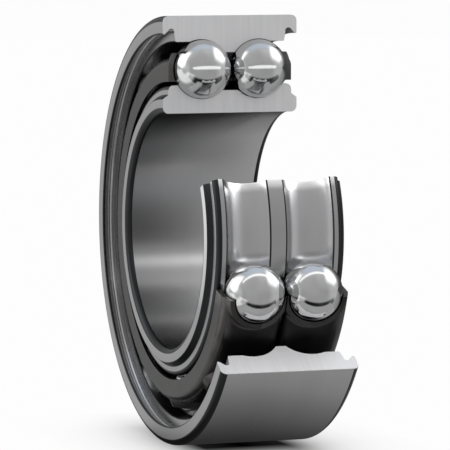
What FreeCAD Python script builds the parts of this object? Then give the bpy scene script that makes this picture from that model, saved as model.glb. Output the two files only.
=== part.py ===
import FreeCAD, Part
import os
import re
import Sketcher
from FreeCAD import Vector

# Double row angular contact ball bearing, back to back, cut open to show its inside.
# The bearing's axis is Z. The origin is on the axis, halfway between the side faces.
# Angles run from +X towards +Y. The upper row of balls lies above the middle plane,
# and the lower row is its mirror image. All lengths are in millimetres, angles in degrees.

# Driving dimensions, each with the place where it is measured
DIMENSIONS = {
    # Rolling elements
    "ball_diameter": 15.08,
    "pitch_diameter": 82.6,
    "row_gap": 0.29,
    "contact_angle": 30.0,
    "balls_per_row": 10,
    # Steel left beyond the balls, which gives the 60 bore, the 110 outside and the 36.5 width
    "inner_ring_wall": 3.76,
    "outer_ring_wall": 6.16,
    "side_wall": 3.025,
    "corner_radius": 1.5,
    # Raceway curvature over ball diameter, and the running clearance at the contact
    "outer_curvature": 0.525,
    "inner_curvature": 0.52,
    "raceway_clearance": 0.03,
    # Outer ring, heights counted inwards from the bottom of the raceway
    "outer_rib_height": 3.4,
    "outer_land_height": 0.6,
    # Outer ring's seal recess, between a hooked lip and a nearly flat wall
    "lip_wall": 5.2,
    "lip_undercut": 1.55,
    "lip_slant": 1.65,
    "recess_wall": 4.05,
    "recess_depth": 3.0,
    "recess_slope": 0.45,
    "seal_groove_radius": 0.85,
    "seal_groove_inset": 2.25,
    "seal_groove_wall": 3.27,
    "lip_rounding": 0.35,
    "recess_rounding": 0.2,
    # Inner ring, heights counted outwards from the bottom of the raceway
    "inner_shoulder_height": 3.57,
    "inner_land_height": 2.15,
    # Inner ring's stepped sides
    "side_face_height": 3.75,
    "step_slant": 1.0,
    "step_depth": 1.4,
    "step_taper": 0.25,
    "shoulder_rounding": 1.3,
    # Stamped cages
    "sheet_thickness": 1.05,
    "pocket_clearance": 0.25,
    "cage_gap": 0.6,
    "pocket_gap": 0.4,
    "flange_margin": 0.21,
    "flange_clearance": 0.936,
    "pocket_lip_height": 4.2,
    "web_height": 3.0,
    "curl_height": 0.3,
    "bend_radius": 2.2,
    "lip_taper_height": 1.5,
    "lip_taper_angle": 18.0,
    # Cutaway, counted back from the common cut face
    "cut_face_angle": 90.0,
    "outer_window_angle": 125.5,
    "inner_window_angle": 65.5,
    "missing_balls": 2,
}

# Values worked out from the driving dimensions, in the sheet's own formulas
DERIVED = {
    "ball_radius": "ball_diameter / 2",
    "pitch_radius": "pitch_diameter / 2",
    "row_height": "(ball_diameter + row_gap) / 2",
    "ball_pitch": "360 / balls_per_row",
    # Boundary of the whole bearing
    "bore_radius": "pitch_radius - ball_radius - inner_ring_wall",
    "outer_radius": "pitch_radius + ball_radius + outer_ring_wall",
    "half_width": "row_height + ball_radius + side_wall",
    # The groove's centre lies on the contact line, beyond the ball's centre
    "outer_groove": "outer_curvature * ball_diameter",
    "outer_shift": "outer_groove - ball_radius - raceway_clearance",
    "outer_groove_place": "pitch_radius - outer_shift * cos(contact_angle * 1deg)",
    "outer_groove_height": "row_height + outer_shift * sin(contact_angle * 1deg)",
    "inner_groove": "inner_curvature * ball_diameter",
    "inner_shift": "inner_groove - ball_radius - raceway_clearance",
    "inner_groove_place": "pitch_radius + inner_shift * cos(contact_angle * 1deg)",
    "inner_groove_height": "row_height - inner_shift * sin(contact_angle * 1deg)",
    # Radii of the ribs, lands and shoulders
    "rib_radius": "outer_groove_place + outer_groove - outer_rib_height",
    "land_radius": "outer_groove_place + outer_groove - outer_land_height",
    "lip_radius": "outer_radius - lip_wall",
    "recess_radius": "outer_radius - recess_wall",
    "seal_groove_place": "outer_radius - seal_groove_wall - seal_groove_radius",
    "seal_groove_level": "half_width - seal_groove_inset",
    "shoulder_radius": "inner_groove_place - inner_groove + inner_shoulder_height",
    "inner_land_radius": "inner_groove_place - inner_groove + inner_land_height",
    "side_face_radius": "bore_radius + side_face_height",
    # Cage radii and heights above the middle plane
    "pocket_radius": "ball_radius + pocket_clearance",
    "boss_radius": "pocket_radius + sheet_thickness",
    "cage_bottom": "cage_gap / 2",
    "pocket_bottom": "pocket_gap / 2",
    "flange_top": "row_height + boss_radius + flange_margin",
    "flange_radius": "shoulder_radius + flange_clearance",
    "flange_inset": "pitch_radius - flange_radius",
    "lip_top_radius": "pitch_radius + pocket_lip_height",
    "web_radius": "pitch_radius + web_height",
    "curl_radius": "pitch_radius + curl_height",
    "cage_window_angle": "(missing_balls + 1) * ball_pitch",
}

# Cutting tools reach this far past the metal that they remove
REACH = 3.0
FULL_TURN = 360.0
EDGE_MATCH = 0.01

doc = FreeCAD.newDocument("bearing")
sheet = doc.addObject("Spreadsheet::Sheet", "Sizes")


def fill_sheet():
    """Writes the driving numbers, then the formulas, each with its alias."""
    row = 0
    for alias, number in DIMENSIONS.items():
        row += 1
        sheet.set("A%d" % row, alias)
        sheet.set("B%d" % row, str(number))
        sheet.setAlias("B%d" % row, alias)
    for alias, formula in DERIVED.items():
        row += 1
        sheet.set("A%d" % row, alias)
        sheet.set("B%d" % row, "=" + formula)
        sheet.setAlias("B%d" % row, alias)
    doc.recompute()


def bound(words):
    """Puts the sheet's name before each alias in an expression."""
    return re.sub(r"[a-z]+(?:_[a-z]+)+", lambda found: "Sizes." + found.group(0), words)


def value(words):
    """Works an expression out to a plain number."""
    return float(sheet.evalExpression(bound(words)))


def bind(thing, place, words):
    """Ties one property of an object to an expression in the sheet's names."""
    thing.setExpression(place, bound(words))


def new_body(label):
    body = doc.addObject("PartDesign::Body", label)
    body.Label = label
    return body


def origin_item(body, role):
    """One of the body's own origin planes or axes."""
    return next(item for item in body.Origin.OriginFeatures if item.Role == role)


def new_sketch(body, name):
    """A sketch on the plane of the cut face: its x is the radius, its y is the height."""
    sketch = body.newObject("Sketcher::SketchObject", name)
    sketch.AttachmentSupport = [(origin_item(body, "YZ_Plane"), "")]
    sketch.MapMode = "FlatFace"
    return sketch


def dimension(sketch, kind, geometry, point, words):
    """Ties one point of the sketch to the origin by a distance along one axis."""
    if words == "0":
        axis = -1 if kind == "DistanceY" else -2
        sketch.addConstraint(Sketcher.Constraint("PointOnObject", geometry, point, axis))
        return
    number = value(words)
    ends = (-1, 1, geometry, point)
    if number < 0:
        ends = (geometry, point, -1, 1)
        words = "-(%s)" % words
    index = sketch.addConstraint(Sketcher.Constraint(kind, *ends, abs(number)))
    bind(sketch, "Constraints[%d]" % index, words)


def add_polygon(sketch, corners):
    """Closed outline through corners, each given as expressions for radius and height."""
    points = [Vector(value(radius), value(height), 0) for radius, height in corners]
    count = len(points)
    for index in range(count):
        following = points[(index + 1) % count]
        sketch.addGeometry(Part.LineSegment(points[index], following), False)
    for index in range(count):
        following = (index + 1) % count
        sketch.addConstraint(Sketcher.Constraint("Coincident", index, 2, following, 1))
    for index, (radius, height) in enumerate(corners):
        dimension(sketch, "DistanceX", index, 1, radius)
        dimension(sketch, "DistanceY", index, 1, height)


def add_circle(sketch, radius, height, size):
    """Full circle with its centre and radius given as expressions."""
    centre = Vector(value(radius), value(height), 0)
    index = sketch.addGeometry(Part.Circle(centre, Vector(0, 0, 1), value(size)), False)
    dimension(sketch, "DistanceX", index, 3, radius)
    dimension(sketch, "DistanceY", index, 3, height)
    place = sketch.addConstraint(Sketcher.Constraint("Radius", index, value(size)))
    bind(sketch, "Constraints[%d]" % place, size)


def turn(body, kind, name, sketch, axis="V_Axis"):
    """Turns a sketch right round, as added metal or as a groove in the metal."""
    feature = body.newObject("PartDesign::" + kind, name)
    feature.Profile = sketch
    feature.ReferenceAxis = (sketch, [axis])
    feature.Angle = FULL_TURN
    return feature


def turn_polygon(body, kind, name, corners):
    sketch = new_sketch(body, name + "Sketch")
    add_polygon(sketch, corners)
    return turn(body, kind, name, sketch)


def turn_circle(body, kind, name, radius, height, size):
    sketch = new_sketch(body, name + "Sketch")
    add_circle(sketch, radius, height, size)
    return turn(body, kind, name, sketch)


def rim_edges(shape, radius, height):
    """Names of the round edges at a given radius and height."""
    found = []
    for number, edge in enumerate(shape.Edges, 1):
        if not isinstance(edge.Curve, Part.Circle):
            continue
        same_radius = abs(edge.Curve.Radius - value(radius)) < EDGE_MATCH
        same_height = abs(edge.Curve.Center.z - value(height)) < EDGE_MATCH
        if same_radius and same_height:
            found.append("Edge%d" % number)
    return found


def round_edges(body, name, places, size):
    """Rounds the round edges at the given places, each a radius and a height."""
    doc.recompute()
    base = body.Tip
    names = []
    for radius, height in places:
        names += rim_edges(base.Shape, radius, height)
    feature = body.newObject("PartDesign::Fillet", name)
    feature.Base = (base, names)
    bind(feature, "Radius", size)
    return feature


def mirror_down(body):
    """Adds the mirror image below the middle plane to the half that is built."""
    doc.recompute()
    mirrored = body.newObject("PartDesign::Mirrored", "BothRows")
    mirrored.TransformMode = "Whole shape"
    mirrored.MirrorPlane = (origin_item(body, "XY_Plane"), [""])
    mirrored.Refine = True
    body.Tip = mirrored


def cut_window(body, inside, outside, top, angle):
    """Cuts the piece open from the common cut face, back against the turning sense."""
    beyond = "%s + %g" % (outside, REACH)
    above = "%s + %g" % (top, REACH)
    below = "-(%s)" % above
    window = turn_polygon(body, "Groove", "Window", [
        (inside, below),
        (beyond, below),
        (beyond, above),
        (inside, above),
    ])
    window.Reversed = True
    bind(window, "Angle", angle)


def build_outer_ring():
    """Outer ring: deep rib in the middle, low lands outside, seal recess on each side."""
    body = new_body("outer_ring")
    turn_polygon(body, "Revolution", "Blank", [
        ("rib_radius", "0"),
        ("outer_radius", "0"),
        ("outer_radius", "half_width"),
        ("rib_radius", "half_width"),
    ])
    turn_circle(body, "Groove", "Raceway",
                "outer_groove_place", "outer_groove_height", "outer_groove")
    inside = "rib_radius - %g" % REACH
    outside = "half_width + %g" % REACH
    turn_polygon(body, "Groove", "Land", [
        (inside, "outer_groove_height"),
        ("land_radius", "outer_groove_height"),
        ("land_radius", outside),
        (inside, outside),
    ])
    turn_polygon(body, "Groove", "SealRecess", [
        (inside, "half_width - recess_depth - recess_slope"),
        ("land_radius", "half_width - recess_depth - recess_slope"),
        ("recess_radius", "half_width - recess_depth"),
        ("lip_radius + lip_undercut", "half_width - lip_slant"),
        ("lip_radius", "half_width"),
        ("lip_radius", outside),
        (inside, outside),
    ])
    turn_circle(body, "Groove", "SealGroove",
                "seal_groove_place", "seal_groove_level", "seal_groove_radius")
    round_edges(body, "OuterCorner", [("outer_radius", "half_width")], "corner_radius")
    round_edges(body, "LipTip", [("lip_radius", "half_width")], "lip_rounding")
    round_edges(body, "LandCorner",
                [("land_radius", "half_width - recess_depth - recess_slope")],
                "recess_rounding")
    mirror_down(body)
    cut_window(body, inside, "outer_radius", "half_width", "outer_window_angle")
    return body


def build_inner_ring():
    """Inner ring: high shoulders outside, low land in the middle, stepped sides."""
    body = new_body("inner_ring")
    turn_polygon(body, "Revolution", "Blank", [
        ("bore_radius", "0"),
        ("shoulder_radius", "0"),
        ("shoulder_radius", "half_width"),
        ("bore_radius", "half_width"),
    ])
    turn_circle(body, "Groove", "Raceway",
                "inner_groove_place", "inner_groove_height", "inner_groove")
    beyond = "shoulder_radius + %g" % REACH
    turn_polygon(body, "Groove", "MiddleLand", [
        ("inner_land_radius", "0"),
        (beyond, "0"),
        (beyond, "inner_groove_height"),
        ("inner_land_radius", "inner_groove_height"),
    ])
    outside = "half_width + %g" % REACH
    turn_polygon(body, "Groove", "SideStep", [
        ("side_face_radius", "half_width"),
        ("side_face_radius + step_slant", "half_width - step_depth"),
        ("shoulder_radius", "half_width - step_depth - step_taper"),
        (beyond, "half_width - step_depth - step_taper"),
        (beyond, outside),
        ("side_face_radius", outside),
    ])
    round_edges(body, "BoreCorner", [("bore_radius", "half_width")], "corner_radius")
    round_edges(body, "ShoulderCorner",
                [("shoulder_radius", "half_width - step_depth - step_taper")],
                "shoulder_rounding")
    mirror_down(body)
    inside = "bore_radius - %g" % REACH
    cut_window(body, inside, "shoulder_radius", "half_width", "inner_window_angle")
    return body


def add_boss_outline(sketch):
    """Upper half of a pocket's boss: a round cap cut off flat at its foot and its head."""
    foot = Vector(value("flange_radius"), value("row_height"), 0)
    head = Vector(value("lip_top_radius"), value("row_height"), 0)
    crown = Vector(value("pitch_radius"), value("row_height + boss_radius"), 0)
    foot_rise = value("sqrt(boss_radius ^ 2 - flange_inset ^ 2)")
    head_rise = value("sqrt(boss_radius ^ 2 - pocket_lip_height ^ 2)")
    foot_corner = foot + Vector(0, foot_rise, 0)
    head_corner = head + Vector(0, head_rise, 0)
    sketch.addGeometry(Part.LineSegment(foot, head), False)
    sketch.addGeometry(Part.LineSegment(head, head_corner), False)
    sketch.addGeometry(Part.Arc(head_corner, crown, foot_corner), False)
    sketch.addGeometry(Part.LineSegment(foot_corner, foot), False)
    for first, last in ((0, 1), (1, 2), (2, 3), (3, 0)):
        sketch.addConstraint(Sketcher.Constraint("Coincident", first, 2, last, 1))
    sketch.addConstraint(Sketcher.Constraint("Vertical", 1))
    sketch.addConstraint(Sketcher.Constraint("Vertical", 3))
    sketch.addConstraint(Sketcher.Constraint("PointOnObject", 2, 3, 0))
    dimension(sketch, "DistanceX", 0, 1, "flange_radius")
    dimension(sketch, "DistanceY", 0, 1, "row_height")
    dimension(sketch, "DistanceX", 0, 2, "lip_top_radius")
    dimension(sketch, "DistanceY", 0, 2, "row_height")
    dimension(sketch, "DistanceX", 2, 3, "pitch_radius")
    place = sketch.addConstraint(Sketcher.Constraint("Radius", 2, value("boss_radius")))
    bind(sketch, "Constraints[%d]" % place, "boss_radius")


def add_hollow_outline(sketch):
    """Upper half of the round hollow that holds the ball with its clearance."""
    low = "pitch_radius - pocket_radius"
    high = "pitch_radius + pocket_radius"
    bottom = Vector(value(low), value("row_height"), 0)
    top = Vector(value(high), value("row_height"), 0)
    crown = Vector(value("pitch_radius"), value("row_height + pocket_radius"), 0)
    sketch.addGeometry(Part.LineSegment(bottom, top), False)
    sketch.addGeometry(Part.Arc(top, crown, bottom), False)
    for first, last in ((0, 1), (1, 0)):
        sketch.addConstraint(Sketcher.Constraint("Coincident", first, 2, last, 1))
    sketch.addConstraint(Sketcher.Constraint("PointOnObject", 1, 3, 0))
    dimension(sketch, "DistanceX", 0, 1, low)
    dimension(sketch, "DistanceY", 0, 1, "row_height")
    dimension(sketch, "DistanceX", 0, 2, high)
    dimension(sketch, "DistanceY", 0, 2, "row_height")


def add_pockets(body):
    """A boss and a hollow, both turned about a ball's radial line, for every ball."""
    boss_sketch = new_sketch(body, "PocketBossSketch")
    add_boss_outline(boss_sketch)
    boss = turn(body, "Revolution", "PocketBoss", boss_sketch, "Edge1")
    hollow_sketch = new_sketch(body, "PocketHollowSketch")
    add_hollow_outline(hollow_sketch)
    hollow = turn(body, "Groove", "PocketHollow", hollow_sketch, "Edge1")
    pattern = body.newObject("PartDesign::PolarPattern", "Pockets")
    pattern.Originals = [boss, hollow]
    pattern.Axis = (origin_item(body, "Z_Axis"), [""])
    pattern.Angle = FULL_TURN
    bind(pattern, "Occurrences", "balls_per_row")
    body.Tip = pattern


def build_cage(label):
    """Stamped cage of the upper row: flange outside, web over the balls, curled inner edge."""
    body = new_body(label)
    turn_polygon(body, "Revolution", "Channel", [
        ("flange_radius", "cage_bottom"),
        ("web_radius", "cage_bottom"),
        ("web_radius", "flange_top"),
        ("flange_radius", "flange_top"),
    ])
    inside = "flange_radius - %g" % REACH
    turn_polygon(body, "Groove", "ChannelHollow", [
        (inside, "0"),
        ("curl_radius", "0"),
        ("curl_radius", "cage_bottom + sheet_thickness"),
        ("web_radius - sheet_thickness", "cage_bottom + sheet_thickness"),
        ("web_radius - sheet_thickness", "flange_top - sheet_thickness"),
        (inside, "flange_top - sheet_thickness"),
    ])
    round_edges(body, "OuterBends",
                [("web_radius", "cage_bottom"), ("web_radius", "flange_top")],
                "bend_radius")
    round_edges(body, "InnerBends",
                [("web_radius - sheet_thickness", "cage_bottom + sheet_thickness"),
                 ("web_radius - sheet_thickness", "flange_top - sheet_thickness")],
                "bend_radius - sheet_thickness")
    add_pockets(body)
    beyond = "lip_top_radius + %g" % REACH
    climb = "(lip_taper_height + %g) / tan(lip_taper_angle * 1deg)" % REACH
    below = "pocket_bottom - %g" % REACH
    turn_polygon(body, "Groove", "InnerEdge", [
        (inside, below),
        (beyond, below),
        (beyond, "pocket_bottom + " + climb),
        ("lip_top_radius - lip_taper_height", "pocket_bottom"),
        (inside, "pocket_bottom"),
    ])
    cut_window(body, inside, "lip_top_radius", "flange_top", "cage_window_angle")
    return body


def turn_over(body):
    """Turns a cage over about the middle of its window, which makes it the lower one."""
    middle = "(cut_face_angle - cage_window_angle / 2) * 1deg"
    here = "create(<<vector>>; 0; 0; 0)"
    axis = "create(<<vector>>; cos(%s); sin(%s); 0)" % (middle, middle)
    half_turn = "create(<<rotation>>; %s; %d)" % (axis, FULL_TURN / 2)
    bind(body, "Placement", "create(<<placement>>; %s; %s)" % (here, half_turn))


def build_ball(label, place, side):
    """One ball, counted round from the cut face; side is 1 above and -1 below."""
    ball = doc.addObject("Part::Sphere", label)
    ball.Label = label
    angle = "(cut_face_angle + %d * ball_pitch) * 1deg" % place
    bind(ball, "Radius", "ball_radius")
    bind(ball, "Placement.Base.x", "pitch_radius * cos(%s)" % angle)
    bind(ball, "Placement.Base.y", "pitch_radius * sin(%s)" % angle)
    bind(ball, "Placement.Base.z", "%d * row_height" % side)
    return ball


def build_parts():
    upper_cage = build_cage("cage_upper")
    lower_cage = build_cage("cage_lower")
    turn_over(lower_cage)
    parts = [build_outer_ring(), build_inner_ring(), upper_cage, lower_cage]
    kept_balls = int(value("balls_per_row - missing_balls"))
    for row, side in (("upper", 1), ("lower", -1)):
        for place in range(kept_balls):
            parts.append(build_ball("ball_%s_%d" % (row, place + 1), place, side))
    return parts


def check(parts):
    """Stops unless every object worked out and every part is one sound solid."""
    for item in doc.Objects:
        if "Invalid" in item.State or "Error" in item.State:
            raise RuntimeError("%s failed: %s" % (item.Label, item.State))
    for part in parts:
        if part.Shape.isNull() or not part.Shape.isValid():
            raise RuntimeError("%s has no valid shape" % part.Label)
        if len(part.Shape.Solids) != 1:
            raise RuntimeError("%s is not one solid" % part.Label)


fill_sheet()
parts = build_parts()
doc.recompute()
check(parts)
os.makedirs("parts", exist_ok=True)
for part in parts:
    part.Shape.exportStep("parts/%s.step" % part.Label)
    box = part.Shape.BoundBox
    print("%s volume %.2f, x %.2f to %.2f, y %.2f to %.2f, z %.2f to %.2f" % (
        part.Label, part.Shape.Volume, box.XMin, box.XMax, box.YMin, box.YMax,
        box.ZMin, box.ZMax))
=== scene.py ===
import math

import bpy
import numpy as np
from mathutils import Matrix, Vector


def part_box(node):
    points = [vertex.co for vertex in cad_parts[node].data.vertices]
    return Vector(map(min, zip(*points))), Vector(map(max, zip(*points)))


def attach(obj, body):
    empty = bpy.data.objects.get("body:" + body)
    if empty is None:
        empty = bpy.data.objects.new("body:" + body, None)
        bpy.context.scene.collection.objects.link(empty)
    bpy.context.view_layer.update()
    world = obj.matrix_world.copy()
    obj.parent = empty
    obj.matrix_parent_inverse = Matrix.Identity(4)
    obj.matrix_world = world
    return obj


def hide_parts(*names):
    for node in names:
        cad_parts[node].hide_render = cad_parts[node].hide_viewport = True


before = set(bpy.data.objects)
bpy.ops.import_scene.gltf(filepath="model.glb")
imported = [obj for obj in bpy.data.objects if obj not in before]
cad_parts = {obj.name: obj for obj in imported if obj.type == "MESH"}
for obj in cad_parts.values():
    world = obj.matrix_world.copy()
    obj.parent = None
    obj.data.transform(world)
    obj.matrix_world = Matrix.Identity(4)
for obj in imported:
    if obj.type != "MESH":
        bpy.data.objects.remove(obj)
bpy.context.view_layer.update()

# Double row angular contact ball bearing, cut open: ground rings, bright balls, dark stamped cages.
# Lengths are in metres and angles in degrees, unless a comment or math.radians says otherwise. The
# bearing's axis is Z, and angles about it run from +X towards +Y.

MM = 0.001

# Places that follow the frame
OUTER_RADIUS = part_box("outer_ring")[1].y
HALF_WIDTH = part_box("outer_ring")[1].z
BALL_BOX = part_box("ball_upper_1")
BALL_RADIUS = (BALL_BOX[1].x - BALL_BOX[0].x) / 2
PITCH_RADIUS = (BALL_BOX[0].y + BALL_BOX[1].y) / 2
ROW_HEIGHT = (BALL_BOX[0].z + BALL_BOX[1].z) / 2

# Where each piece is cut open
CUT_FACE_ANGLE = 90.0
OUTER_WINDOW = 125.5
INNER_WINDOW = 65.5

# Raceways: the groove's centre lies on the 30 degree contact line beyond the ball's centre
CONTACT_ANGLE = math.radians(30.0)
RACEWAY_CLEARANCE = 0.03 * MM
OUTER_GROOVE = 0.525 * 2 * BALL_RADIUS
INNER_GROOVE = 0.52 * 2 * BALL_RADIUS
OUTER_SHIFT = OUTER_GROOVE - BALL_RADIUS - RACEWAY_CLEARANCE
INNER_SHIFT = INNER_GROOVE - BALL_RADIUS - RACEWAY_CLEARANCE

# Sections, heights counted from the bottom of each raceway as in the bearing's drawing
OUTER_RIB = 3.4 * MM
OUTER_LAND = 0.6 * MM
LIP_WALL = 5.2 * MM
LIP_UNDERCUT = 1.55 * MM
LIP_SLANT = 1.65 * MM
RECESS_WALL = 4.05 * MM
RECESS_DEPTH = 3.0 * MM
RECESS_SLOPE = 0.45 * MM
SEAL_GROOVE_RADIUS = 0.85 * MM
SEAL_GROOVE_INSET = 2.25 * MM
SEAL_GROOVE_WALL = 3.27 * MM
INNER_WALL = 3.76 * MM
INNER_SHOULDER = 3.57 * MM
INNER_LAND = 2.15 * MM
SIDE_FACE = 3.75 * MM
STEP_SLANT = 1.0 * MM
STEP_DEPTH = 1.4 * MM
STEP_TAPER = 0.25 * MM
CORNER_ROUNDING = 1.5 * MM
SHOULDER_ROUNDING = 1.3 * MM
LIP_ROUNDING = 0.35 * MM
EDGE_BREAK = 0.16 * MM
SHOULDER_EDGE = 0.45 * MM
LAND_EDGE = 0.6 * MM
CUT_EDGE_BREAK = 0.07 * MM

# Where a painted mark changes, from full to none: the painted highlight in degrees before the inner ring's
# cut, the painted light on the cage's outer face counted down from its top, and on the pressed rim counted
# from its ball
PAINTED_RIM_HIGHLIGHT = (1.5, 4.5)
PAINTED_LIGHT_FACE = (0.8 * MM, 4.0 * MM)
POCKET_RIM = (1.5 * MM, 2.0 * MM)
# The pressed rim's share of the painted light; the web's tone, the dark sheet made darker still as painted
# shade; the paler tone of painted light
POCKET_SHARE = 0.55
CAGE_WEB = (0.023, 0.0225, 0.0225)
CAGE_PAINTED_LIGHT = (0.098, 0.094, 0.092)
BALL_SPACING = math.radians(36.0)
LINE_DEPTH = 0.02 * MM
STREAK_DEPTH = 0.05 * MM

# Fineness of the surfaces
ARC_STEP = 0.26 * MM
TURN_STEP = 0.75
ROUNDING_STEPS = 7
SUPPORT = (0.04 * MM, 0.3 * MM)
BALL_CELLS = 30


# Shapes

def line(start, end):
    """Two points of a straight stretch of the section, each (radius, height)."""
    return np.array([start, end])


def arc(centre, radius, start, end):
    """Points on a circle: centre plus radius times (cos, sin), from the start angle to the end angle."""
    count = max(3, math.ceil(abs(end - start) * radius / ARC_STEP))
    angles = np.linspace(start, end, count + 1)
    return np.stack([centre[0] + radius * np.cos(angles), centre[1] + radius * np.sin(angles)], 1)


def crossing(centre, radius, line_radius, side):
    """Angle on a circle where it meets a line of constant radius; side is +1 above the centre, -1 below."""
    return side * math.acos((line_radius - centre[0]) / radius)


def meeting(centre, radius, start, end, near):
    """Angle on a circle where it meets the line through start and end, the meeting closest to near.

    The line's foot lies nearest the centre, and both meetings are half a chord from it."""
    start, end, centre = np.array(start), np.array(end), np.array(centre)
    along = (end - start) / np.linalg.norm(end - start)
    foot = start + along * ((centre - start) @ along)
    half = math.sqrt(radius ** 2 - np.sum((foot - centre) ** 2))
    points = [foot + along * half, foot - along * half]
    point = min(points, key=lambda p: np.linalg.norm(p - np.array(near)))
    return math.atan2(point[1] - centre[1], point[0] - centre[0])


def corner(before, point, after, size):
    """Round corner tangent to both sides: the sides are cut back by size times tan(half the turn)."""
    into = (point - before) / np.linalg.norm(point - before)
    out = (after - point) / np.linalg.norm(after - point)
    turn = math.atan2(into[0] * out[1] - into[1] * out[0], into @ out)
    back = size * math.tan(abs(turn) / 2)
    inward = np.array([-into[1], into[0]]) * math.copysign(1, turn)
    centre = point - into * back + inward * size
    first = math.atan2(*(-inward)[::-1])
    angles = first + np.linspace(0, turn, ROUNDING_STEPS + 1)
    return np.stack([centre[0] + size * np.cos(angles), centre[1] + size * np.sin(angles)], 1)


def supported(points):
    """Adds points close to both ends of a long straight stretch, which keep its shading flat."""
    if len(points) > 2:
        return points
    span = points[1] - points[0]
    length = np.linalg.norm(span)
    places = [p for p in SUPPORT if p < length / 2]
    shares = [0.0] + [p / length for p in places] + [1 - p / length for p in places[::-1]] + [1.0]
    return points[0] + np.array(shares)[:, None] * span


def join_section(pieces):
    """Joins pieces (points, finish, rounding size, rounding finish) end to end.

    Each rounding lies between a piece and the next. Gives the points of the section and the
    finish of the stretch that starts at each point."""
    count = len(pieces)
    cut = [points.copy() for points, *_ in pieces]
    rounds = [None] * count
    for i in range(count - 1):
        size = pieces[i][2]
        if size:
            made = corner(cut[i][-2], cut[i][-1], cut[i + 1][1], size)
            cut[i][-1] = made[0]
            cut[i + 1][0] = made[-1]
            rounds[i] = made
    points, finishes = [], []
    for i in range(count):
        stretch = supported(cut[i])
        points.append(stretch[:-1])
        finishes += [pieces[i][1]] * (len(stretch) - 1)
        if rounds[i] is not None:
            points.append(rounds[i][:-1])
            finishes += [pieces[i][3]] * (len(rounds[i]) - 1)
    points.append(cut[-1][-1:])
    return np.concatenate(points), finishes


def mirrored_section(points, finishes):
    """Closes a half section, given from the middle plane round to it, with its mirror image below."""
    lower = points[::-1][1:-1] * (1, -1)
    return np.concatenate([points, lower]), finishes + finishes[::-1]


def area_of(points):
    """Twice the signed area of a closed outline, positive when it runs counterclockwise."""
    x, y = points.T
    return np.sum(x * np.roll(y, -1) - y * np.roll(x, -1))


def inset(points, depth):
    """The section moved inwards by depth along the mean normal of its two sides at each point."""
    ahead = np.roll(points, -1, 0) - points
    ahead /= np.linalg.norm(ahead, axis=1)[:, None]
    normal = np.stack([ahead[:, 1], -ahead[:, 0]], 1)
    mean = normal + np.roll(normal, 1, 0)
    mean /= np.linalg.norm(mean, axis=1)[:, None]
    return points - mean * depth * math.copysign(1, area_of(points))


def mesh_object(name, vertices, faces, materials, indices, flat):
    """A mesh object at the origin. indices names each face's material, and flat says which aren't smooth."""
    mesh = bpy.data.meshes.new(name)
    mesh.from_pydata(vertices.tolist(), [], faces)
    for material in materials:
        mesh.materials.append(material)
    mesh.polygons.foreach_set("material_index", np.array(indices, np.int32))
    mesh.polygons.foreach_set("use_smooth", ~np.array(flat, bool))
    mesh.update()
    thing = bpy.data.objects.new(name, mesh)
    bpy.context.scene.collection.objects.link(thing)
    return thing


def turned_ring(name, section, finishes, start, end, materials):
    """Surface of revolution of a closed section from the start angle to the end angle, with both cut faces.

    A point is (radius cos angle, radius sin angle, height). The section shrinks a little at both
    ends, which breaks the cut edges. Faces point outwards, whichever way round the section runs."""
    count = len(section)
    small = inset(section, CUT_EDGE_BREAK)
    step = math.degrees(CUT_EDGE_BREAK / OUTER_RADIUS)
    steps = math.ceil((end - start) / TURN_STEP)
    angles = np.concatenate([
        [start, start + step, start + 2 * step],
        np.linspace(start, end, steps + 1)[1:-1],
        [end - 2 * step, end - step, end],
    ])
    columns = len(angles)
    shape = np.broadcast_to(section, (columns, count, 2)).copy()
    shape[0], shape[-1] = small, small
    around = np.radians(angles)
    radius, height = shape[..., 0], shape[..., 1]
    vertices = np.stack([radius * np.cos(around)[:, None], radius * np.sin(around)[:, None], height], -1)
    column, place = np.meshgrid(np.arange(columns - 1), np.arange(count), indexing="ij")
    following = (place + 1) % count
    quads = np.stack([
        column * count + place,
        (column + 1) * count + place,
        (column + 1) * count + following,
        column * count + following,
    ], -1).reshape(-1, 4)
    cut_faces = np.stack([np.arange(count)[::-1], np.arange(count) + (columns - 1) * count])
    way = 1 if area_of(section) > 0 else -1
    faces = quads[:, ::way].tolist() + cut_faces[:, ::way].tolist()
    names = [material.name for material in materials]
    cut = names.index("cut_steel")
    indices = np.tile([names.index(finish) for finish in finishes], columns - 1).reshape(columns - 1, count)
    indices[0], indices[-1] = cut, cut
    indices = indices.ravel().tolist() + [cut, cut]
    flat = [False] * len(quads) + [True, True]
    ring = mesh_object(name, vertices.reshape(-1, 3), faces, materials, indices, flat)
    lengths = np.linalg.norm(np.roll(section, -1, 0) - section, axis=1)
    travelled = np.concatenate([[0], np.cumsum(lengths)[:-1]])
    turned = np.stack(np.meshgrid(around * OUTER_RADIUS, travelled, indexing="ij"), -1)
    map_turning(ring, turned.reshape(-1, 2))
    return ring


def map_turning(ring, places):
    """UV map of a turned surface: across is the way round, up is the way along the section."""
    mesh = ring.data
    corners = np.empty(len(mesh.loops), np.int32)
    mesh.loops.foreach_get("vertex_index", corners)
    layer = mesh.uv_layers.new(name="turning")
    layer.data.foreach_set("uv", places[corners].astype(np.float32).ravel())


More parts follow.
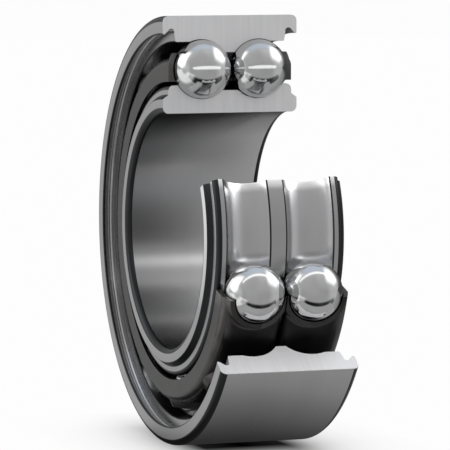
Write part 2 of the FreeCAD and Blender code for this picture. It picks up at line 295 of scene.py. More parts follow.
def outer_section():
    """Half section of the outer ring, from the rib round the raceway, recess and outside to the middle."""
    groove = (
        PITCH_RADIUS - OUTER_SHIFT * math.cos(CONTACT_ANGLE),
        ROW_HEIGHT + OUTER_SHIFT * math.sin(CONTACT_ANGLE),
    )
    bottom = groove[0] + OUTER_GROOVE
    rib, land = bottom - OUTER_RIB, bottom - OUTER_LAND
    lip = OUTER_RADIUS - LIP_WALL
    race = arc(groove, OUTER_GROOVE, crossing(groove, OUTER_GROOVE, rib, -1),
               crossing(groove, OUTER_GROOVE, land, 1))
    wall = ((land, HALF_WIDTH - RECESS_DEPTH - RECESS_SLOPE),
            (OUTER_RADIUS - RECESS_WALL, HALF_WIDTH - RECESS_DEPTH))
    under = ((lip + LIP_UNDERCUT, HALF_WIDTH - LIP_SLANT), (lip, HALF_WIDTH))
    seal = (OUTER_RADIUS - SEAL_GROOVE_WALL - SEAL_GROOVE_RADIUS, HALF_WIDTH - SEAL_GROOVE_INSET)
    seal_arc = arc(seal, SEAL_GROOVE_RADIUS, meeting(seal, SEAL_GROOVE_RADIUS, *wall, wall[1]),
                   meeting(seal, SEAL_GROOVE_RADIUS, *under, under[0]))
    # The roundings take a near-black steel: painted shade along the edges
    points, finishes = mirrored_section(*join_section([
        (line((rib, 0), race[0]), "ground_steel", SHOULDER_EDGE, "dark_steel"),
        # The outer raceway and its land take a darker steel: painted shade inside the ring
        (race, "outer_race_steel", SHOULDER_EDGE, "dark_steel"),
        (line(race[-1], wall[0]), "outer_race_steel", 2 * EDGE_BREAK, "dark_steel"),
        (line(wall[0], seal_arc[0]), "turned_steel", EDGE_BREAK, "turned_steel"),
        (seal_arc, "turned_steel", EDGE_BREAK, "turned_steel"),
        (line(seal_arc[-1], under[1]), "lip_steel", LIP_ROUNDING, "dark_steel"),
        (line(under[1], (OUTER_RADIUS, HALF_WIDTH)), "side_steel", CORNER_ROUNDING, "dark_steel"),
        (line((OUTER_RADIUS, HALF_WIDTH), (OUTER_RADIUS, 0)), "ground_steel", 0, ""),
    ]))
    # Painted shade: only the upper side's lip takes the darker copy of the turned steel, in the recess's
    # shade
    half = len(finishes) // 2
    lower = ["turned_steel" if finish == "lip_steel" else finish for finish in finishes[half:]]
    return points, finishes[:half] + lower


def inner_section():
    """Half section of the inner ring, from the bore round the stepped side, shoulder and raceway."""
    groove = (
        PITCH_RADIUS + INNER_SHIFT * math.cos(CONTACT_ANGLE),
        ROW_HEIGHT - INNER_SHIFT * math.sin(CONTACT_ANGLE),
    )
    bottom = groove[0] - INNER_GROOVE
    shoulder, land = bottom + INNER_SHOULDER, bottom + INNER_LAND
    bore = PITCH_RADIUS - BALL_RADIUS - INNER_WALL
    side = bore + SIDE_FACE
    race = arc(groove, INNER_GROOVE, crossing(groove, INNER_GROOVE, shoulder, 1),
               2 * math.pi + crossing(groove, INNER_GROOVE, land, -1))
    step = HALF_WIDTH - STEP_DEPTH
    # The roundings and the slanted step take a near-black steel: painted shade along the edges and in the
    # step
    return mirrored_section(*join_section([
        (line((bore, 0), (bore, HALF_WIDTH)), "bore_steel", CORNER_ROUNDING, "dark_steel"),
        (line((bore, HALF_WIDTH), (side, HALF_WIDTH)), "side_steel", EDGE_BREAK, "dark_steel"),
        (line((side, HALF_WIDTH), (side + STEP_SLANT, step)), "dark_steel", 2 * EDGE_BREAK, "dark_steel"),
        (line((side + STEP_SLANT, step), (shoulder, step - STEP_TAPER)), "side_steel",
         SHOULDER_ROUNDING, "dark_steel"),
        (line((shoulder, step - STEP_TAPER), race[0]), "ground_steel", SHOULDER_EDGE, "dark_steel"),
        (race, "honed_steel", LAND_EDGE, "dark_steel"),
        (line(race[-1], (land, 0)), "ground_steel", 0, ""),
    ]))


def ball_shape():
    """Vertices and faces of a ball about the origin: the six sides of a cube, blown up to the sphere.

    Each side's grid is (1, tan a, tan b) for a and b from -45 to 45 degrees, scaled to the radius."""
    grid = np.tan(np.linspace(-math.pi / 4, math.pi / 4, BALL_CELLS + 1))
    across, up = np.meshgrid(grid, grid, indexing="ij")
    side = np.stack([np.ones_like(across), across, up], -1).reshape(-1, 3)
    places = np.concatenate([np.roll(side, shift, 1) * sign for shift in range(3) for sign in (1, -1)])
    places /= np.linalg.norm(places, axis=1)[:, None]
    row, column = np.meshgrid(np.arange(BALL_CELLS), np.arange(BALL_CELLS), indexing="ij")
    first = (row * (BALL_CELLS + 1) + column).ravel()
    quad = np.stack([first, first + BALL_CELLS + 1, first + BALL_CELLS + 2, first + 1], 1)
    quads = np.concatenate([
        (quad if index % 2 == 0 else quad[:, ::-1]) + index * len(side) for index in range(6)
    ])
    _, kept, joined = np.unique(np.round(places, 7), axis=0, return_index=True, return_inverse=True)
    return places[kept] * BALL_RADIUS, joined.ravel()[quads]


# Materials

def new_group(name, inputs, outputs):
    """An empty shader node group. inputs maps each name to its default, outputs to its kind."""
    tree = bpy.data.node_groups.new(name, "ShaderNodeTree")
    for socket, default in inputs.items():
        made = tree.interface.new_socket(socket, in_out="INPUT", socket_type="NodeSocketFloat")
        made.default_value = default
    for socket, kind in outputs.items():
        tree.interface.new_socket(socket, in_out="OUTPUT", socket_type=kind)
    return tree, tree.nodes.new("NodeGroupInput"), tree.nodes.new("NodeGroupOutput")


def add(tree, kind, settings=None, **inputs):
    """A node with its settings, and its inputs set to values or linked to other nodes' outputs.

    An input goes by its name, with _ for a space, or by _ and its number."""
    node = tree.nodes.new(kind)
    for key, setting in (settings or {}).items():
        setattr(node, key, setting)
    for key, given in inputs.items():
        socket = node.inputs[int(key[1:])] if key[0] == "_" else node.inputs[key.replace("_", " ")]
        if isinstance(given, bpy.types.NodeSocket):
            tree.links.new(given, socket)
        else:
            socket.default_value = given
    return node


def math_of(tree, operation, *given):
    """The result of a Math node."""
    values = {"_%d" % i: item for i, item in enumerate(given)}
    return add(tree, "ShaderNodeMath", {"operation": operation}, **values).outputs[0]


def place_on(tree):
    """The x, y and z of a place on the piece, counted in the bearing's frame."""
    place = add(tree, "ShaderNodeTexCoord").outputs["Object"]
    return add(tree, "ShaderNodeSeparateXYZ", Vector=place).outputs


def radius_of(tree, x, y):
    """Distance from the axis: the root of x squared plus y squared."""
    squares = math_of(tree, "MULTIPLY", x, x), math_of(tree, "MULTIPLY", y, y)
    return math_of(tree, "SQRT", math_of(tree, "ADD", *squares))


def ranged(tree, value, start, end, low=0.0, high=1.0, kind="LINEAR"):
    """A value between start and end moved to between low and high, and kept within them."""
    return add(tree, "ShaderNodeMapRange", {"interpolation_type": kind}, Value=value, From_Min=start,
               From_Max=end, To_Min=low, To_Max=high).outputs[0]


def blend(tree, share, first, second):
    """Colour on the way from the first to the second."""
    return add(tree, "ShaderNodeMix", {"data_type": "RGBA"}, Factor=share, _6=first, _7=second).outputs[2]


def tint(tree, mask, colour, spread):
    """A colour that a mask moves from a little darker to a little lighter."""
    darker = [tone * (1 - spread) for tone in colour]
    lighter = [min(1.0, tone * (1 + spread)) for tone in colour]
    return blend(tree, mask, (*darker, 1), (*lighter, 1))


def smudges(tree, blotches=None):
    """Mask of the shared smudges, with their own fineness where it is given."""
    group = add(tree, "ShaderNodeGroup", {"node_tree": bpy.data.node_groups["smudges"]})
    if blotches:
        group.inputs["Blotches per metre"].default_value = blotches
    return group.outputs["Mask"]


def lathe_group():
    """Fine lines that run round the axis, as turning and grinding leave them.

    Four numbers feed the noise: the direction from the axis, slowly, and the radius and the height, fast."""
    tree, inside, outside = new_group(
        "lathe_lines", {"Lines per metre": 5000.0, "Breaks": 3.0},
        {"Height": "NodeSocketFloat", "Tone": "NodeSocketFloat"})
    x, y, z = place_on(tree)
    radius = radius_of(tree, x, y)
    share = math_of(tree, "DIVIDE", inside.outputs["Breaks"], radius)
    fine = inside.outputs["Lines per metre"]
    vector = add(tree, "ShaderNodeCombineXYZ", X=math_of(tree, "MULTIPLY", x, share),
                 Y=math_of(tree, "MULTIPLY", y, share), Z=math_of(tree, "MULTIPLY", radius, fine)).outputs[0]
    along = math_of(tree, "MULTIPLY", z, fine)
    grain = add(tree, "ShaderNodeTexNoise", {"noise_dimensions": "4D"}, Vector=vector, W=along,
                Scale=1.0, Detail=0.0)
    tree.links.new(grain.outputs[0], outside.inputs["Height"])
    bands = add(tree, "ShaderNodeTexNoise", {"noise_dimensions": "4D"}, Vector=vector, W=along,
                Scale=0.12, Detail=3.0, Roughness=0.7)
    tree.links.new(bands.outputs[0], outside.inputs["Tone"])
    return tree


def smudge_group():
    """Soft blotches of handling: broad noise, stretched to a mask from 0 to 1."""
    tree, inside, outside = new_group("smudges", {"Blotches per metre": 60.0},
                                      {"Mask": "NodeSocketFloat"})
    place = add(tree, "ShaderNodeTexCoord").outputs["Object"]
    noise = add(tree, "ShaderNodeTexNoise", Vector=place, Scale=inside.outputs[0], Detail=1.0,
                Roughness=0.5, Distortion=0.2)
    mask = ranged(tree, noise.outputs[0], 0.35, 0.7, kind="SMOOTHSTEP")
    tree.links.new(mask, outside.inputs["Mask"])
    return tree


def streak_group():
    """Faint marks of a fine cutting wheel: they run outwards from the axis and change along it."""
    tree, inside, outside = new_group(
        "cut_streaks", {"Streaks per metre": 900.0, "Length": 40.0}, {"Mask": "NodeSocketFloat"})
    x, y, z = place_on(tree)
    outwards = math_of(tree, "MULTIPLY", radius_of(tree, x, y), inside.outputs["Length"])
    vector = add(tree, "ShaderNodeCombineXYZ", X=outwards,
                 Y=math_of(tree, "MULTIPLY", z, inside.outputs["Streaks per metre"]))
    noise = add(tree, "ShaderNodeTexNoise", Vector=vector.outputs[0], Scale=1.0, Detail=3.0, Roughness=0.55)
    tree.links.new(noise.outputs[0], outside.inputs["Mask"])
    return tree


def new_material(name):
    """A material with its node tree and its shader."""
    material = bpy.data.materials.new(name)
    material.use_nodes = True
    return material, material.node_tree, material.node_tree.nodes["Principled BSDF"]


def painted_rim_highlight_mask(tree):
    """Where the highlight is painted: 1 next to the inner ring's cut face on the bearing's open side, 0
    elsewhere, by the angle.
    """
    x, y, _ = place_on(tree)
    angle = math_of(tree, "DEGREES", math_of(tree, "ARCTAN2", y, x))
    end = CUT_FACE_ANGLE - INNER_WINDOW
    near = ranged(tree, angle, end - PAINTED_RIM_HIGHLIGHT[1], end - PAINTED_RIM_HIGHLIGHT[0], kind="SMOOTHSTEP")
    return math_of(tree, "MULTIPLY", near, math_of(tree, "LESS_THAN", angle, end + INNER_WINDOW / 2))


def turned_finish(name, colour, roughness, lines, bump, smudge, spread, pull=0.0, edge=1.0,
                  painted_shade_slope=None, rim=None):
    """A ground or turned steel. Its grain comes from the lathe lines, and its uneven gloss from smudges.

    pull stretches reflections across the lines, as fine grinding does. edge is the brightness left
    where the surface is seen almost edge on. The slope gives the colour's factor at the lower and the
    upper side of the bearing, as painted light and shade. The rim tone is a painted highlight, brighter
    next to the inner ring's own cut face."""
    material, tree, shader = new_material(name)
    grain = add(tree, "ShaderNodeGroup", {"node_tree": bpy.data.node_groups["lathe_lines"]})
    grain.inputs["Lines per metre"].default_value = lines
    steel = tint(tree, grain.outputs["Tone"], colour, spread)
    # Painted light and shade: the colour scaled from the lower side to the upper side of the bearing
    if painted_shade_slope:
        factor = ranged(tree, place_on(tree)[2], -HALF_WIDTH, HALF_WIDTH, *painted_shade_slope)
        steel = add(tree, "ShaderNodeVectorMath", {"operation": "SCALE"}, _0=steel, Scale=factor).outputs[0]
    # Painted highlight: a brighter tone next to the inner ring's own cut face
    if rim:
        steel = blend(tree, painted_rim_highlight_mask(tree), steel, (rim, rim, rim, 1))
    tree.links.new(steel, shader.inputs["Base Color"])
    shine = ranged(tree, smudges(tree), 0.0, 1.0, roughness, roughness + smudge)
    tree.links.new(shine, shader.inputs["Roughness"])
    relief = add(tree, "ShaderNodeBump", Height=grain.outputs["Height"], Strength=bump, Distance=LINE_DEPTH)
    tree.links.new(relief.outputs[0], shader.inputs["Normal"])
    shader.inputs["Metallic"].default_value = 1.0
    shader.inputs["Specular Tint"].default_value = (edge, edge, edge, 1)
    if pull:
        way = add(tree, "ShaderNodeTangent", {"direction_type": "UV_MAP", "uv_map": "turning"})
        tree.links.new(way.outputs[0], shader.inputs["Tangent"])
        shader.inputs["Anisotropic"].default_value = pull
        shader.inputs["Anisotropic Rotation"].default_value = 0.25
    return material


def cut_finish():
    """The sawn and fine ground faces of the cutaway: paler and duller than the ground surfaces."""
    material, tree, shader = new_material("cut_steel")
    streaks = add(tree, "ShaderNodeGroup", {"node_tree": bpy.data.node_groups["cut_streaks"]})
    marks = streaks.outputs["Mask"]
    tree.links.new(tint(tree, marks, (0.69, 0.69, 0.70), 0.10), shader.inputs["Base Color"])
    relief = add(tree, "ShaderNodeBump", Height=marks, Strength=0.2, Distance=STREAK_DEPTH)
    tree.links.new(relief.outputs[0], shader.inputs["Normal"])
    tree.links.new(ranged(tree, smudges(tree), 0.0, 1.0, 0.46, 0.54), shader.inputs["Roughness"])
    shader.inputs["Metallic"].default_value = 0.4
    return material


def ring_materials():
    """The rings' finishes, in the order of their material slots.

    Each has its colour, roughness, lines per metre, bump, smudges' share and the colour's spread."""
    return [
        # The ground and honed steels carry the painted highlight next to the inner ring's cut face
        turned_finish("ground_steel", (0.50, 0.50, 0.50), 0.24, 1500, 0.03, 0.05, 0.06, 0.6, rim=0.95),
        # The bore is painted lighter towards the lower side and darker towards the upper side
        turned_finish("bore_steel", (0.50, 0.50, 0.50), 0.26, 1300, 0.02, 0.0, 0.06, 0.7, edge=0.6,
                      painted_shade_slope=(1.42, 0.68)),
        turned_finish("side_steel", (0.56, 0.56, 0.565), 0.30, 3000, 0.35, 0.05, 0.16, 0.3),
        turned_finish("honed_steel", (0.60, 0.60, 0.61), 0.17, 3000, 0.06, 0.05, 0.05, rim=0.98),
        turned_finish("turned_steel", (0.55, 0.55, 0.555), 0.22, 2400, 0.2, 0.06, 0.14, 0.4),
        # A darker copy of the turned steel: painted shade under the upper lip
        turned_finish("lip_steel", (0.25, 0.25, 0.255), 0.24, 2400, 0.2, 0.06, 0.14, 0.4),
        # Darker than the other ground steel: painted shade on the outer raceway and its land
        turned_finish("outer_race_steel", (0.42, 0.42, 0.425), 0.2, 3000, 0.06, 0.05, 0.05),
        # Near-black steel for the roundings and the step: painted shade along the edges
        turned_finish("dark_steel", (0.04, 0.041, 0.043), 0.28, 3000, 0.1, 0.06, 0.2),
        cut_finish(),
    ]


def ball_material():
    """Bright polished steel with a faint haze."""
    material, tree, shader = new_material("polished_ball")
    shader.inputs["Metallic"].default_value = 1.0
    haze = smudges(tree, 300.0)
    tree.links.new(tint(tree, haze, (0.662, 0.664, 0.668), 0.03), shader.inputs["Base Color"])
    tree.links.new(ranged(tree, haze, 0.0, 1.0, 0.09, 0.13), shader.inputs["Roughness"])
    return material


def pocket_mask(tree, x, y, z):
    """Where light is painted on the pressed rim round a ball: up to 1 there, 0 further out, by the distance
    from the nearest ball's centre.

    The place is turned back by whole spacings to the first ball, at the angle of the cut face."""
    radius = radius_of(tree, x, y)
    angle = math_of(tree, "SUBTRACT", math_of(tree, "ARCTAN2", y, x), math.radians(CUT_FACE_ANGLE))
    angle = math_of(tree, "WRAP", angle, BALL_SPACING / 2, -BALL_SPACING / 2)
    across = math_of(tree, "MULTIPLY", radius, math_of(tree, "SINE", angle))
    out = math_of(tree, "MULTIPLY", radius, math_of(tree, "COSINE", angle))
    offset = add(tree, "ShaderNodeCombineXYZ", X=across, Y=math_of(tree, "SUBTRACT", out, PITCH_RADIUS),
                 Z=math_of(tree, "SUBTRACT", math_of(tree, "ABSOLUTE", z), ROW_HEIGHT)).outputs[0]
    distance = add(tree, "ShaderNodeVectorMath", {"operation": "LENGTH"}, _0=offset).outputs["Value"]
    return ranged(tree, distance, BALL_RADIUS + POCKET_RIM[0], BALL_RADIUS + POCKET_RIM[1], POCKET_SHARE, 0.0,
                  kind="SMOOTHSTEP")


def cage_material():
    """Dark phosphated sheet, a little warm in the light. On the flange's top face and round the pockets it is
    paler, as painted light, and glossier.
    """
    material, tree, shader = new_material("cage_sheet")
    blots = smudges(tree, 180.0)
    x, y, z = place_on(tree)
    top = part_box("cage_upper")[1].z
    # Painted light: paler on the flange's top face and on the pressed rims round the pockets
    face = ranged(tree, math_of(tree, "ABSOLUTE", z), top - PAINTED_LIGHT_FACE[1], top - PAINTED_LIGHT_FACE[0],
                  kind="SMOOTHSTEP")
    painted_light = math_of(tree, "MAXIMUM", face, pocket_mask(tree, x, y, z))
    tones = [tint(tree, blots, colour, 0.12) for colour in (CAGE_WEB, CAGE_PAINTED_LIGHT)]
    tree.links.new(blend(tree, painted_light, *tones), shader.inputs["Base Color"])
    dull = ranged(tree, painted_light, 0.0, 1.0, 0.42, 0.20)
    uneven = ranged(tree, blots, 0.0, 1.0, 0.0, 0.1)
    tree.links.new(math_of(tree, "ADD", dull, uneven), shader.inputs["Roughness"])
    shader.inputs["Metallic"].default_value = 0.9
    return material


lathe_group()
smudge_group()
streak_group()


# Pieces

def build_rings():
    """Both rings, each turned from its own section, from the cut face round to its window's other end."""
    materials = ring_materials()
    for name, section, window, node in (
            ("outer_ring_ground", outer_section(), OUTER_WINDOW, "outer_ring"),
            ("inner_ring_ground", inner_section(), INNER_WINDOW, "inner_ring")):
        ring = turned_ring(name, *section, CUT_FACE_ANGLE, CUT_FACE_ANGLE + 360 - window, materials)
        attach(ring, node)
        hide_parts(node)


def build_balls():
    """A polished ball in the middle of each ball node's box."""
    material = ball_material()
    vertices, faces = ball_shape()
    for node in sorted(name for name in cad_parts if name.startswith("ball_")):
        low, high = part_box(node)
        centre = np.array((low + high) / 2)
        count = len(faces)
        ball = mesh_object(node + "_polished", vertices + centre, faces.tolist(), [material],
                           [0] * count, [False] * count)
        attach(ball, node)
        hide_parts(node)


def finish_cages():
    """The cages keep their CAD surface and get the sheet's finish."""
    material = cage_material()
    for node in ("cage_upper", "cage_lower"):
        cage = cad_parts[node]
        for slot in cage.material_slots:
            slot.material = material


# Studio

# The camera's place and its own axes in the bearing's frame, and its sensor's width in millimetres
CAMERA_PLACE = (0.93538, 0.082041, 0.336003)
CAMERA_RIGHT = (0.336854, -0.000858, -0.941557)
CAMERA_BACK = (0.938466, 0.081264, 0.335674)
FOCAL_PIXELS = 3868.219
IMAGE_PIXELS = 450
SENSOR = 36.0
CAMERA_REACH = (0.01, 20.0)


def build_camera():
    """The photo's camera: its axes made square to each other, and its lens from the focal length."""
    data = bpy.data.cameras.new("photo_view")
    camera = bpy.data.objects.new("photo_view", data)
    bpy.context.scene.collection.objects.link(camera)
    right, back = np.array(CAMERA_RIGHT), np.array(CAMERA_BACK)
    back /= np.linalg.norm(back)
    right -= back * (right @ back)
    right /= np.linalg.norm(right)
    up = np.cross(back, right)
    turn = Matrix((right.tolist(), up.tolist(), back.tolist())).transposed().to_4x4()
    camera.matrix_world = Matrix.Translation(CAMERA_PLACE) @ turn
    data.sensor_width = SENSOR
    data.sensor_fit = "HORIZONTAL"
    data.lens = FOCAL_PIXELS / IMAGE_PIXELS * SENSOR
    data.clip_start, data.clip_end = CAMERA_REACH
    bpy.context.scene.camera = camera


def panel_group():
    """One soft-edged panel of light: 1 inside its half width and half height in degrees, 0 outside."""
    tree, inside, outside = new_group(
        "studio_panel",
        {"Azimuth": 0, "Elevation": 0, "Middle": 0, "Half width": 10, "Level": 0, "Half height": 10,
         "Side softness": 5, "Edge softness": 5},
        {"Mask": "NodeSocketFloat"})
    get = inside.outputs
    turned = math_of(tree, "SUBTRACT", get["Azimuth"], get["Middle"])
    off = math_of(tree, "ABSOLUTE", math_of(tree, "WRAP", turned, 180.0, -180.0))
    rise = math_of(tree, "ABSOLUTE", math_of(tree, "SUBTRACT", get["Elevation"], get["Level"]))
    masks = []
    for distance, half, softness in ((off, get["Half width"], get["Side softness"]),
                                     (rise, get["Half height"], get["Edge softness"])):
        full = math_of(tree, "SUBTRACT", half, softness)
        none = math_of(tree, "ADD", half, softness)
        masks.append(ranged(tree, distance, full, none, 1.0, 0.0, kind="SMOOTHSTEP"))
    tree.links.new(math_of(tree, "MULTIPLY", *masks), outside.inputs["Mask"])
    return tree


# Panels: middle azimuth, half width, side softness, level, half height, edge softness, brightness, hue
PANELS = [
    (85, 33, 25, -53, 17, 9, 1.9, (1, 1, 1)),
    (130, 36, 9, 56, 22, 9, 1.4, (1, 1, 1)),
    (-105, 74, 7, 60, 15, 7, 0.62, (1, 1, 1)),
    (-5, 55, 14, -68, 22, 14, 0.18, (1, 1, 1)),
    (0, 179, 8, 86, 18, 8, 0.18, (1, 1, 1)),
    (104, 16, 12, -4, 30, 12, 0.13, (0.3, 0.85, 1.6)),
    (-54, 15, 4, 0, 64, 4, -0.42, (1, 1, 1)),
]

# Brightness of the room by azimuth in degrees: below the bearing's middle plane, and above it. Between
# the two elevations the one goes over into the other.
ROOM_BELOW = [(-180, 0.06), (-165, 0.06), (-152, 0.16), (-141, 0.30), (-93, 0.40), (-68, 0.46), (-45, 0.46),
              (-20, 0.43), (3, 0.42), (19, 0.47), (47, 0.55), (75, 0.68), (110, 0.62), (127, 0.45),
              (143, 0.28), (165, 0.08), (180, 0.06)]
ROOM_ABOVE = [(-180, 0.46), (-140, 0.42), (-90, 0.34), (-50, 0.42), (0, 0.45), (60, 0.52), (90, 0.62),
              (120, 0.55), (150, 0.46), (180, 0.46)]
ROOM_CHANGE = (-12.0, 6.0)
ROOM_DARKEST = (0.01, 0.01, 0.01)
BACKDROP = (0.98, 0.98, 0.98, 1)


def grey_of(tree, place, levels):
    """Grey that follows a list of (place, brightness), straight between them."""
    low, high = levels[0][0], levels[-1][0]
    ramp = add(tree, "ShaderNodeValToRGB", Fac=ranged(tree, place, low, high))
    for index, (where, level) in enumerate(levels):
        where = (where - low) / (high - low)
        stop = ramp.color_ramp.elements[index] if index < 2 else ramp.color_ramp.elements.new(where)
        stop.position = where
        stop.color = (level, level, level, 1)
    return ramp.outputs[0]


def build_world():
    """Studio painted by direction: the room, then each panel added. The camera itself sees plain white."""
    world = bpy.data.worlds.new("studio")
    bpy.context.scene.world = world
    world.use_nodes = True
    tree = world.node_tree
    tree.nodes.clear()
    direction = add(tree, "ShaderNodeTexCoord").outputs["Generated"]
    x, y, z = add(tree, "ShaderNodeSeparateXYZ", Vector=direction).outputs
    azimuth = math_of(tree, "DEGREES", math_of(tree, "ARCTAN2", y, x))
    elevation = math_of(tree, "DEGREES", math_of(tree, "ARCSINE", z))
    above = ranged(tree, elevation, *ROOM_CHANGE, kind="SMOOTHSTEP")
    total = blend(tree, above, grey_of(tree, azimuth, ROOM_BELOW), grey_of(tree, azimuth, ROOM_ABOVE))
    group = panel_group()
    for middle, half, side, level, height, edge, brightness, hue in PANELS:
        panel = add(tree, "ShaderNodeGroup", {"node_tree": group}, Azimuth=azimuth, Elevation=elevation,
                    Middle=middle, Half_width=half, Level=level, Half_height=height, Side_softness=side,
                    Edge_softness=edge)
        light = add(tree, "ShaderNodeVectorMath", {"operation": "SCALE"}, Scale=panel.outputs[0],
                    _0=[brightness * part for part in hue]).outputs[0]
        total = add(tree, "ShaderNodeVectorMath", {"operation": "ADD"}, _0=total, _1=light).outputs[0]
    total = add(tree, "ShaderNodeVectorMath", {"operation": "MAXIMUM"}, _0=total, _1=ROOM_DARKEST).outputs[0]
    seen = add(tree, "ShaderNodeBackground", Color=BACKDROP, Strength=1.0).outputs[0]
    lit = add(tree, "ShaderNodeBackground", Color=total, Strength=1.0).outputs[0]
    camera_ray = add(tree, "ShaderNodeLightPath").outputs["Is Camera Ray"]
    mix = add(tree, "ShaderNodeMixShader", Fac=camera_ray, _1=lit, _2=seen)
    end = add(tree, "ShaderNodeOutputWorld")
    tree.links.new(mix.outputs[0], end.inputs["Surface"])


# A slim strip of light in front of the cut, level with the top balls and along the axis
STRIP_PLACE = (55.0 * MM, 48.0 * MM, 0.0)
STRIP_SIZE = (160 * MM, 14 * MM)
STRIP_BRIGHTNESS = 0.85


def build_strip():
    """A rectangle of light that faces the axis, its long side along it."""
    data = bpy.data.lights.new("strip_light", "AREA")
    data.shape = "RECTANGLE"
    data.size, data.size_y = STRIP_SIZE
    data.energy = STRIP_BRIGHTNESS * math.pi * STRIP_SIZE[0] * STRIP_SIZE[1]
    strip = bpy.data.objects.new("strip_light", data)
    bpy.context.scene.collection.objects.link(strip)
    aim = Vector((-STRIP_PLACE[0], -STRIP_PLACE[1], 0)).normalized()
    along = Vector((0, 0, 1))
    turn = Matrix((along, along.cross(aim), -aim)).transposed().to_4x4()
    strip.matrix_world = Matrix.Translation(STRIP_PLACE) @ turn
    strip.visible_camera = False


def card_material(name):
    """A material that only shines, and in white until a colour is linked."""
    material, tree, shader = new_material(name)
    shader.inputs["Base Color"].default_value = (0, 0, 0, 1)
    shader.inputs["Specular IOR Level"].default_value = 0.0
    shader.inputs["Emission Color"].default_value = (1, 1, 1, 1)
    shader.inputs["Emission Strength"].default_value = 1.0
    return material, tree, shader


def front_of(tree):
    """1 on the front of a card, 0 on its back."""
    back = add(tree, "ShaderNodeNewGeometry").outputs["Backfacing"]
    return math_of(tree, "SUBTRACT", 1.0, back)


def card(name, corners, material, hidden_from):
    """A flat square of the studio, its corners counterclockwise as seen from its front."""
    square = mesh_object(name, np.array(corners), [(0, 1, 2, 3)], [material], [0], [True])
    for rays in hidden_from:
        setattr(square, "visible_" + rays, False)
    return square


# Shade under the outer ring, seen only in reflections: brightness by place along X, in millimetres. Between
# the two edges, counted from the middle plane, it goes over into its last brightness.
SHADE_LEVEL = -57.0 * MM
SHADE_HALF = 70 * MM
SHADE_EDGE = (24 * MM, 40 * MM)
SHADE_SLANT = 0.35
SHADE = [(-45, 0.03), (6, 0.03), (11, 0.042), (16, 0.064), (21, 0.10), (26, 0.15), (31, 0.20), (37, 0.27),
         (44, 0.37), (56, 0.45), (75, 0.45)]


def build_shade():
    """A card below the outer ring, whose brightness falls towards the place under the bearing's axis."""
    low, high, clear = SHADE[0][0] * MM, SHADE[-1][0] * MM, SHADE[-1][1]
    material, tree, shader = card_material("shade_card")
    x, _, z = place_on(tree)
    far_side = math_of(tree, "MAXIMUM", math_of(tree, "MULTIPLY", z, -SHADE_SLANT), 0.0)
    across = math_of(tree, "DIVIDE", math_of(tree, "ADD", x, far_side), MM)
    beyond = ranged(tree, math_of(tree, "ABSOLUTE", z), *SHADE_EDGE, kind="SMOOTHSTEP")
    grey = blend(tree, beyond, grey_of(tree, across, SHADE), (clear, clear, clear, 1))
    tree.links.new(grey, shader.inputs["Emission Color"])
    shade = card("shade_card", [(low, SHADE_LEVEL, SHADE_HALF), (high, SHADE_LEVEL, SHADE_HALF),
                                (high, SHADE_LEVEL, -SHADE_HALF), (low, SHADE_LEVEL, -SHADE_HALF)],
                 material, ("camera", "diffuse", "shadow"))


# A small bright card above the bore, which lights up the near end of the inner ring's side face. It
# brightens along Y from the first value to the second, and shines only ahead, in a narrow beam.
GLOW_PLACE = (5.2 * MM, -2.5 * MM, 34.0 * MM)
GLOW_AIM = (0.90, 0.08, -0.42)
GLOW_HALF = (11 * MM, 16 * MM)
GLOW_BRIGHTNESS = (0.75, 1.45)
GLOW_BEAM = (0.45, 0.65)


def build_glow():
    """The card's sides lie along Y and square to it. Only reflections see it, from its front."""
    aim = Vector(GLOW_AIM).normalized()
    along = (Vector((0, 1, 0)) - aim * aim.y).normalized()
    up = aim.cross(along)
    height, length = GLOW_HALF
    corners = [Vector(GLOW_PLACE) + along * a * length + up * b * height
               for a, b in ((-1, -1), (1, -1), (1, 1), (-1, 1))]
    material, tree, shader = card_material("glow_card")
    rising = ranged(tree, place_on(tree)[1], GLOW_PLACE[1] - length, GLOW_PLACE[1] + length, *GLOW_BRIGHTNESS)
    tree.links.new(rising, shader.inputs["Emission Strength"])
    aside = add(tree, "ShaderNodeLayerWeight", Blend=0.5).outputs["Facing"]
    beam = ranged(tree, aside, *GLOW_BEAM, 1.0, 0.0)
    tree.links.new(math_of(tree, "MULTIPLY", beam, front_of(tree)), shader.inputs["Alpha"])
    glow = card("glow_card", corners, material, ("camera", "diffuse", "shadow"))


# A narrow lamp from the front and above, aimed at the lower cut face; reflections don't show it
LAMP_PLACE = (120 * MM, 92 * MM, -10 * MM)
LAMP_AIM = (41 * MM, -30 * MM, -3 * MM)
LAMP_POWER = 0.6
LAMP_CONE = math.radians(26)
LAMP_SOFTNESS = 0.8
LAMP_RADIUS = 12 * MM


def build_lamp():
    """A spot lamp, turned so that it looks at its aim."""
    data = bpy.data.lights.new("cut_lamp", "SPOT")
    data.energy = LAMP_POWER
    data.spot_size = LAMP_CONE
    data.spot_blend = LAMP_SOFTNESS
    data.shadow_soft_size = LAMP_RADIUS
    lamp = bpy.data.objects.new("cut_lamp", data)
    bpy.context.scene.collection.objects.link(lamp)
    turn = (Vector(LAMP_AIM) - Vector(LAMP_PLACE)).to_track_quat("-Z", "Y")
    lamp.matrix_world = Matrix.Translation(LAMP_PLACE) @ turn.to_matrix().to_4x4()
    lamp.visible_camera = False
    lamp.visible_glossy = False


# The pale ground that the outside of the bearing touches, as in the photo
GROUND_HALF = 3.0
GROUND_GAP = 0.05 * MM
GROUND_WHITE = 0.985

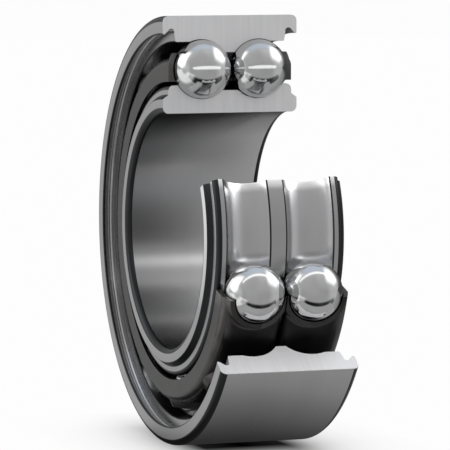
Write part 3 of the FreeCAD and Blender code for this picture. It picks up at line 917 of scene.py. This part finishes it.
# Darkness of the shade at the contact: along X, and by the distance from the middle plane, in millimetres
CONTACT_ALONG = [(-65, 0.0), (-50, 0.1), (-40, 0.25), (-30, 0.52), (-20, 0.7), (-10, 0.9), (0, 1.0),
                 (11, 1.0), (15, 0.93), (20, 0.78), (26, 0.6), (40, 0.3), (60, 0.0)]
CONTACT_ASIDE = [(0, 1.0), (11, 0.99), (13, 0.88), (16, 0.65), (18, 0.48), (21, 0.32), (25, 0.18),
                 (28, 0.12), (34, 0.05), (45, 0.0)]


def build_ground():
    """White floor that the outer ring's outside touches, with the shade of the contact; clear from behind."""
    y = -OUTER_RADIUS - GROUND_GAP
    material, tree, shader = card_material("white_ground")
    x, _, z = place_on(tree)
    along = grey_of(tree, math_of(tree, "DIVIDE", x, MM), CONTACT_ALONG)
    aside = grey_of(tree, math_of(tree, "DIVIDE", math_of(tree, "ABSOLUTE", z), MM), CONTACT_ASIDE)
    light = math_of(tree, "SUBTRACT", 1.0, math_of(tree, "MULTIPLY", along, aside))
    tree.links.new(math_of(tree, "MULTIPLY", light, GROUND_WHITE), shader.inputs["Emission Strength"])
    tree.links.new(front_of(tree), shader.inputs["Alpha"])
    half = GROUND_HALF
    ground = card("white_ground", [(-half, y, half), (half, y, half), (half, y, -half), (-half, y, -half)],
                  material, ("diffuse", "glossy", "shadow"))


# The pale square under the lower side faces: its own tones and the light that it sends upwards
FLOOR_HALF = 4.0
FLOOR_TONES = (0.13, 0.15)
FLOOR_LIGHT = 0.87


def build_floor():
    """Pale square under the lower side faces. The camera doesn't see it; it only sends light upwards."""
    material, tree, shader = new_material("pale_floor")
    place = add(tree, "ShaderNodeTexCoord").outputs["Object"]
    noise = add(tree, "ShaderNodeTexNoise", Vector=place, Scale=3.0, Detail=2.0).outputs[0]
    tones = [(tone, tone, tone, 1) for tone in FLOOR_TONES]
    tree.links.new(blend(tree, noise, *tones), shader.inputs["Base Color"])
    shader.inputs["Roughness"].default_value = 0.7
    shader.inputs["Emission Color"].default_value = (1, 1, 1, 1)
    shader.inputs["Emission Strength"].default_value = FLOOR_LIGHT
    half, z = FLOOR_HALF, -HALF_WIDTH
    floor = card("floor", [(-half, -half, z), (half, -half, z), (half, half, z), (-half, half, z)],
                 material, ("glossy", "camera"))


build_rings()
build_balls()
finish_cages()
build_camera()
build_world()
build_strip()
build_shade()
build_glow()
build_lamp()
build_ground()
build_floor()

view = bpy.context.scene.view_settings
view.view_transform = "Standard"
view.look = "None"
